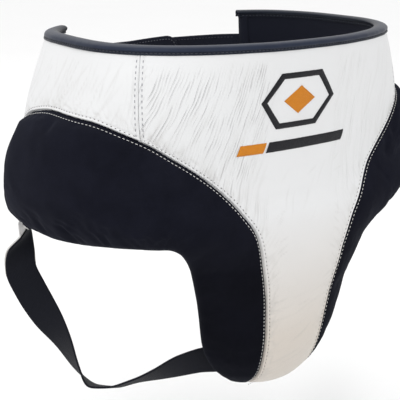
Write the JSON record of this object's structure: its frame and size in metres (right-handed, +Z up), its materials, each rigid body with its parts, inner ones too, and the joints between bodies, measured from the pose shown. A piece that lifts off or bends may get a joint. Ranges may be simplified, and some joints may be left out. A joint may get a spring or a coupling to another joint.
{
  "type": "groin protector",
  "caption": "Padded groin and abdomen protector: belt with hip pads, curved tongue over a hard cup, hook-and-loop closure behind and elastic leg straps.",
  "frame": {"origin": "middle of the waist loop at the height of the rim", "axes": "+X to the wearer's left, -Y to the wearer's front, +Z up, out of the waist opening"},
  "size_m": [0.416, 0.2538, 0.3335],
  "materials": {
    "light_leather": "satin",
    "dark_microfibre": "matte",
    "binding_leather": "satin",
    "foam": "matte",
    "cup_shell": "satin",
    "lining": "matte",
    "strap_cloth": "matte",
    "loop_tape": "matte",
    "hook_tape": "matte",
    "webbing": "matte",
    "dark_thread": "satin",
    "accent_thread": "satin"
  },
  "bodies": {
    "root": {"front_cover": "light_leather", "right_belt_cover": "light_leather", "left_belt_cover": "light_leather", "right_strap_anchor": "light_leather", "left_strap_anchor": "light_leather", "right_hip_cover": "dark_microfibre", "left_hip_cover": "dark_microfibre", "top_binding": "binding_leather", "belt_foam": "foam", "right_hip_foam": "foam", "left_hip_foam": "foam", "groin_outer_foam": "foam", "groin_inner_foam": "foam", "hard_cup": "cup_shell", "belt_lining": "lining", "groin_lining": "lining", "crotch_anchor": "webbing", "emblem_ring": "dark_thread", "emblem_bar": "dark_thread", "emblem_lozenge": "accent_thread", "emblem_bar_tip": "accent_thread"},
    "right_closure": {"right_closure_strap": "strap_cloth", "right_loop_pad": "loop_tape"},
    "left_closure": {"left_closure_strap": "strap_cloth", "left_hook_pad": "hook_tape"},
    "right_leg": {"right_leg_strap": "webbing"},
    "left_leg": {"left_leg_strap": "webbing"}
  },
  "joints": [
    {"name": "right_closure_swing", "type": "hinge", "parent": "root", "child": "right_closure", "pos_m": [-0.109, 0.112, -0.058], "axis": [0, 0, -1], "range_deg": [0, 55]},
    {"name": "left_closure_peel", "type": "hinge", "parent": "root", "child": "left_closure", "pos_m": [0.111, 0.1192, -0.058], "axis": [0, 0, -1], "range_deg": [0, 100]},
    {"name": "right_leg_strap_swing", "type": "hinge", "parent": "root", "child": "right_leg", "pos_m": [-0.168, 0.089, -0.187], "axis": [0.5766, -0.6138, -0.5394], "range_deg": [-15, 15], "stiffness_Nm_per_rad": 0.05},
    {"name": "left_leg_strap_swing", "type": "hinge", "parent": "root", "child": "left_leg", "pos_m": [0.168, 0.089, -0.187], "axis": [0.5766, 0.6138, 0.5394], "range_deg": [-15, 15], "stiffness_Nm_per_rad": 0.05}
  ]
}
